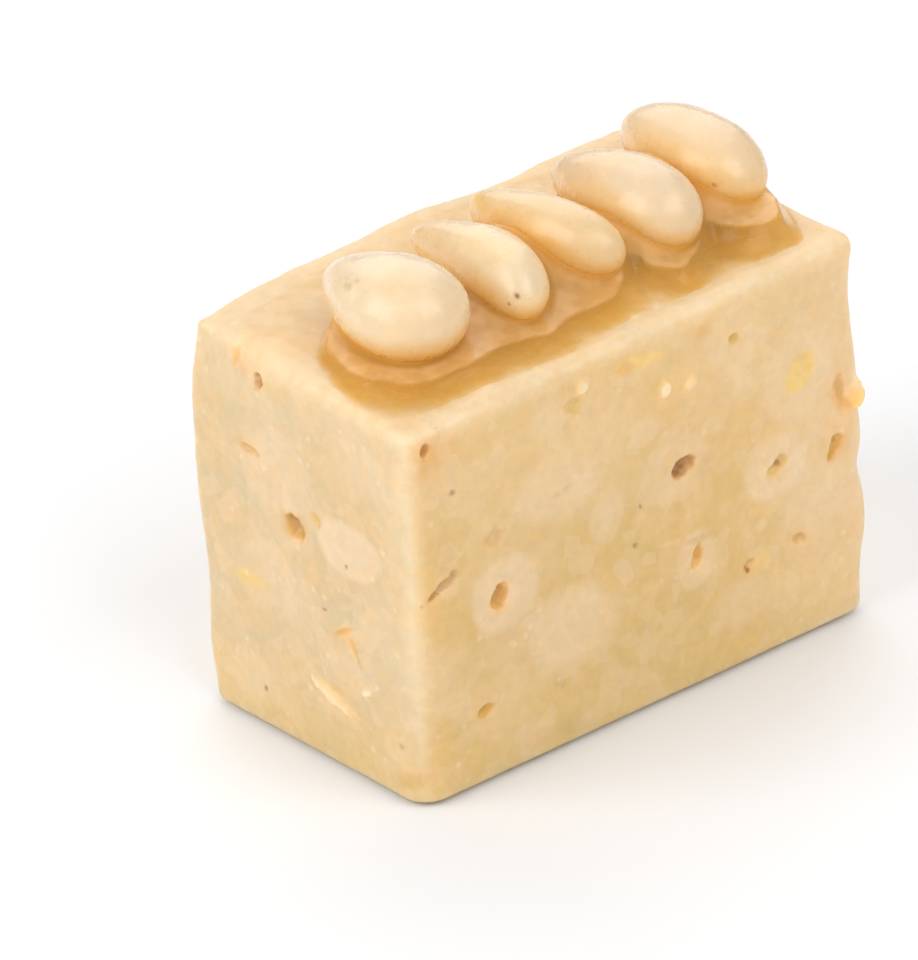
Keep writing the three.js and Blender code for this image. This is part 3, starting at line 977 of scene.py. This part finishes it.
def nut_skin(number, nut, ball, points):
    """Colour and unevenness of a nut's skin at each point: it is golden near the glaze and on its tail."""
    zone = layered(points, 3.4, 71 + number)
    tail = smoothstep(ball[:, 1] + 0.2 * layered(points, 1.8, 41), 0.0, 0.6) * nut["film"]
    height = points[:, 2] - HEIGHT - glaze_form(points[:, :2])["thick"] + 0.25 * layered(points, 2.0, 45)
    colours = np.tile(linear("nut"), (len(points), 1))
    colours = blend(colours, linear("nut_deep"), smoothstep(zone, -0.1, 0.6) * 0.4)
    colours = blend(colours, linear("soaked"), tail * 0.7)
    colours = blend(colours, linear("nut_deep"), 0.8 * (1 - smoothstep(height, 0.2, 2.6)))
    colours = blend(colours, linear("nut_wet"), 0.9 * (1 - smoothstep(height, -0.4, 1.5)))
    lumps = 0.11 * layered(points, 2.8, 31 + number) + 0.02 * noise(points, 0.9, 61 + number)
    lumps += tail * 0.07 * layered(points, 1.2, 51)
    # The white marks on nuts 1 and 5 are painted highlights
    for owner, way, size, dent, tone, strength in NUT_MARKS:
        if owner == number:
            far = np.linalg.norm(ball - np.array(way), axis=1) / size
            colours = blend(colours, linear(tone), strength * (1 - smoothstep(far, 0.5, 1.4)))
            lumps -= dent * np.exp(-far * far)
    return colours * np.array(nut["tone"]), lumps


def make_nut(number, nut, material):
    ball, faces = unit_ball()
    mesh = bpy.data.meshes.new(f"nut_{number}")
    mesh.from_pydata(ball, [], faces)
    points = nut_shape(nut, ball)
    out = points - points.mean(axis=0)
    out /= np.linalg.norm(out, axis=1)[:, None]
    colours, lumps = nut_skin(number, nut, ball, points)
    add_colours(mesh, "paint", colours)
    piece = add_piece(f"nut_{number}", mesh, points + out * lumps[:, None], material)
    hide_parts(f"pine_nut_{number}")


# Glaze

def rounded_outline(points, steps=6):
    """A smooth closed line through the points."""
    p = np.array(points, float)
    before, after, later = np.roll(p, 1, 0), np.roll(p, -1, 0), np.roll(p, -2, 0)
    line = []
    for t in np.arange(steps) / steps:
        line.append(
            0.5 * (2 * p + (after - before) * t + (2 * before - 5 * p + 4 * after - later) * t**2
                   + (3 * p - before - 3 * after + later) * t**3)
        )
    return np.stack(line, axis=1).reshape(-1, 2)


def inside_by(places, line):
    """How far places lie inside a closed line; outside it is negative."""
    start, end = line, np.roll(line, -1, 0)
    side = end - start
    nearest = np.full(len(places), np.inf)
    crossings = np.zeros(len(places), int)
    for a, b, d in zip(start, end, side):
        share = np.clip((places - a) @ d / (d @ d), 0, 1)
        gap = places - a - share[:, None] * d
        nearest = np.minimum(nearest, np.einsum("ij,ij->i", gap, gap))
        spans = (a[1] > places[:, 1]) != (b[1] > places[:, 1])
        if a[1] != b[1]:
            crossings += spans & (places[:, 0] < a[0] + (places[:, 1] - a[1]) * d[0] / d[1])
    return np.sqrt(nearest) * np.where(crossings % 2, 1, -1)


def nut_outline(nut, level):
    """Outline of a nut where a level plane cuts it."""
    spokes = np.linspace(0, 2 * math.pi, 48, endpoint=False)
    half = nut["size"][2] / 2
    height = (level - (HEIGHT - nut["sink"] + half)) / half
    ring = math.sqrt(max(1 - height**2, 0.05))
    ball = np.column_stack([np.cos(spokes) * ring, np.sin(spokes) * ring, np.full(len(spokes), height)])
    return nut_shape(nut, ball)[:, :2]


def glaze_level(places):
    """Height of the glaze's flat top over the slab: each nut has its own, and they run into each other."""
    total = np.zeros(len(places))
    weights = np.full(len(places), 1e-9)
    for nut in NUTS:
        weight = np.exp(-(((places[:, 0] - nut["at"][0]) / GLAZE_RUN) ** 2))
        total += weight * nut["glaze"]
        weights += weight
    return total / weights


def glaze_gaps(places):
    """How far each place is from the nearest nut and from the next one, where they leave the glaze."""
    outlines = [nut_outline(nut, HEIGHT + nut["glaze"]) for nut in NUTS]
    gaps = np.sort([np.maximum(-inside_by(places, outline), 0) for outline in outlines], axis=0)
    return gaps[0], gaps[1]


def glaze_form(places):
    """Height of the glaze over the slab, how deep it looks, its painted shade, how milky it is with a pale
    top that is partly painted reflection, how amber and wet it looks, and its edge.
    """
    lifted = np.column_stack([places, np.zeros(len(places))])
    crease = inside_by(places, rounded_outline(GLAZE_CREASE)) + 0.2 * layered(lifted, 1.1, 81)
    edge = inside_by(places, rounded_outline(GLAZE_EDGE)) + 0.2 * layered(lifted, 1.6, 91)
    near, second = glaze_gaps(places)
    outside = np.maximum(-crease, 0)
    behind, before = GLAZE_SKIRTS
    reach = behind + (before - behind) * smoothstep(-places[:, 1], 1.5, 5.5)
    share = np.clip(outside / reach, 0, 1)

    film = GLAZE_FILM + 0.03 * layered(lifted, 1.9, 97)
    level = glaze_level(places)
    step = 1 - smoothstep(outside, 0, GLAZE_STEP)
    thick = film + ((1 - GLAZE_DROP) * level - film) * (1 - share) ** 1.3 + GLAZE_DROP * level * step
    thick += 0.03 * layered(lifted, 2.2, 95) * smoothstep(edge, 0, 0.8)
    thick *= 1 - np.exp(-np.maximum(edge, 0) / GLAZE_FADE)
    climb = np.exp(-near / GLAZE_CLIMB_REACH) * smoothstep(edge, 0.2, 1.2)
    between = np.exp(-(((near + second) / GLAZE_BETWEEN_REACH) ** 2)) * smoothstep(edge, 0.5, 2.0)
    risen = thick + GLAZE_CLIMB * climb + GLAZE_BETWEEN * between

    skirt = 1 - smoothstep(share + 0.25 * layered(lifted, 1.6, 99), 0.1, 1.1)
    # The open flat top is painted pale: partly milky syrup, partly painted reflection of the bright
    # surroundings
    open_top = (1 - smoothstep(-crease, -0.2, 0.05)) * smoothstep(near, 0.25, 1.0)
    open_top *= 0.7 + 0.3 * smoothstep(layered(lifted, 0.9, 101), -0.3, 0.3)
    # Painted shade along the crease's foot, round each nut and between two nuts, partly for deeper glaze
    line = np.exp(-(((outside - 0.2) / 0.2) ** 2)) * smoothstep(layered(lifted, 2.6, 93), -0.5, 0.3)
    milk = (GLAZE_CLOUD - GLAZE_SKIRT_CLOUD) * np.maximum(open_top, climb)
    return {
        "thick": np.where(edge < 0, np.maximum(0.6 * edge, -0.1), risen),
        "deep": GLAZE_DEEPEST * skirt,
        "dark": 0.4 * line + 0.35 * climb + 0.4 * between,
        "cloud": GLAZE_SKIRT_CLOUD * skirt + milk,
        "amber": 1 - open_top,
        "wet": smoothstep(edge, -0.1, 0.7) * (0.2 + 0.5 * smoothstep(thick, 0.15, 0.5)),
        "edge": edge,
    }


def make_glaze():
    """The glaze as one closed body: its upper side, the same cells inside the slab, and walls round both."""
    xs = np.arange(-LENGTH / 2 + 0.1, LENGTH / 2 - 0.1, GLAZE_CELL)
    ys = np.arange(-DEPTH / 2 + 0.5, DEPTH / 2 - 0.5, GLAZE_CELL)
    grid = np.stack(np.meshgrid(xs, ys, indexing="ij"), axis=-1).reshape(-1, 2)
    base, out = to_surface(np.column_stack([grid, np.full(len(grid), HEIGHT)]))
    glaze = glaze_form(base[:, :2])
    keep = (glaze["edge"] > -0.35).reshape(len(xs), len(ys))
    cell = keep[:-1, :-1] & keep[1:, :-1] & keep[1:, 1:] & keep[:-1, 1:]
    index = np.arange(len(grid)).reshape(len(xs), len(ys))
    quads = np.stack([index[:-1, :-1], index[1:, :-1], index[1:, 1:], index[:-1, 1:]], axis=-1)[cell]
    used, quads = np.unique(quads, return_inverse=True)
    quads = quads.reshape(-1, 4)
    count = len(used)
    upper = (base + out * glaze["thick"][:, None])[used]
    lower = (base - out * GLAZE_BELOW)[used]
    faces = [tuple(q) for q in quads] + [tuple(q[::-1] + count) for q in quads]
    sides = np.concatenate([quads[:, [i, (i + 1) % 4]] for i in range(4)])
    pairs = {tuple(pair) for pair in sides}
    faces += [(b, a, a + count, b + count) for a, b in pairs if (b, a) not in pairs]
    mesh = bpy.data.meshes.new("glaze")
    points = np.concatenate([upper, lower])
    mesh.from_pydata(points, [], faces)
    # The tint takes the skirt's depth and the painted shade
    depth = glaze["deep"][used, None] * GLAZE_ABSORBS + glaze["dark"][used, None] * GLAZE_SHADE_ABSORBS
    tint = np.exp(-depth)
    # Pale on the open flat top, partly painted reflection; amber elsewhere
    milk = blend(np.tile(linear("glaze_milk_and_reflection"), (count, 1)), linear("glaze_amber"), glaze["amber"][used])
    parts = np.column_stack([glaze["cloud"], glaze["wet"], np.zeros(len(grid))])[used]
    add_colours(mesh, "tint", np.concatenate([tint, np.ones_like(tint)]))
    add_colours(mesh, "milk", np.concatenate([milk, milk]))
    add_colours(mesh, "parts", np.concatenate([parts, np.zeros_like(parts)]))
    add_piece("glaze", mesh, points, glaze_material())


# Stage

def floor_material():
    s = Shader("floor")
    patch = s.ramp(s.noise(60, 2), 0.3, 0.7, 0.0, 0.04)
    shade = s.mix(patch, (*FLOOR_COLOUR, 1), (*(0.97 * FLOOR_COLOUR), 1))
    inputs = {"Base Color": shade, "Roughness": 0.75, "Specular IOR Level": 0.2}
    return s.finish(s.node("ShaderNodeBsdfPrincipled", inputs).outputs[0])


def make_floor():
    mesh = bpy.data.meshes.new("floor")
    corners = [(x * FLOOR_HALF, y * FLOOR_HALF, 0) for x, y in ((-1, -1), (1, -1), (1, 1), (-1, 1))]
    mesh.from_pydata(corners, [], [(0, 1, 2, 3)])
    mesh.materials.append(floor_material())
    floor = bpy.data.objects.new("floor", mesh)
    bpy.context.scene.collection.objects.link(floor)


def direction(azimuth, elevation):
    """The way from the object towards azimuth, 0 in front and 90 to its right, and elevation."""
    a, e = math.radians(azimuth), math.radians(elevation)
    return Vector((math.sin(a) * math.cos(e), -math.cos(a) * math.cos(e), math.sin(e)))


def add_softbox(name, azimuth, elevation, distance, size, power):
    light = bpy.data.lights.new(name, "AREA")
    light.shape = "RECTANGLE"
    light.size, light.size_y = size
    light.energy = power
    lamp = bpy.data.objects.new(name, light)
    way = direction(azimuth, elevation)
    lamp.location = way * distance + Vector((0, 0, HEIGHT / 2 * MM))
    lamp.rotation_mode = "QUATERNION"
    lamp.rotation_quaternion = way.to_track_quat("Z", "Y")
    bpy.context.scene.collection.objects.link(lamp)


def make_light():
    world = bpy.data.worlds.new("studio")
    world.use_nodes = True
    background = world.node_tree.nodes["Background"]
    background.inputs["Color"].default_value = (1, 1, 1, 1)
    background.inputs["Strength"].default_value = SKY
    scene = bpy.context.scene
    scene.world = world
    for softbox in SOFTBOXES:
        add_softbox(*softbox)
    scene.view_settings.view_transform = "Standard"
    scene.cycles.max_bounces = 6
    scene.cycles.diffuse_bounces = 2
    scene.cycles.glossy_bounces = 2


def make_camera():
    """The fitted camera: it looks from the front left and above, and is rolled and slid a little."""
    data = bpy.data.cameras.new("camera")
    data.lens = LENS
    data.sensor_width = SENSOR
    camera = bpy.data.objects.new("camera", data)
    bpy.context.scene.collection.objects.link(camera)
    back = direction(CAMERA["azimuth"], CAMERA["elevation"])
    azimuth = math.radians(CAMERA["azimuth"])
    level = Vector((math.cos(azimuth), math.sin(azimuth), 0))
    upright = back.cross(level)
    roll = math.radians(CAMERA["roll"])
    right = level * math.cos(roll) + upright * math.sin(roll)
    up = upright * math.cos(roll) - level * math.sin(roll)
    slide = CAMERA["slide"]
    eye = Vector(AIM) + back * CAMERA["distance"] + right * slide[0] + up * slide[1] + Vector(STAND)
    turned = Matrix((right, up, back)).transposed().to_4x4()
    camera.matrix_world = Matrix.Translation(eye * MM) @ turned
    data.clip_start = 0.01
    bpy.context.scene.camera = camera


make_slab()
nut_look = nut_material()
for number, nut in enumerate(NUTS, 1):
    make_nut(number, nut, nut_look)
make_glaze()
make_floor()
make_light()
make_camera()
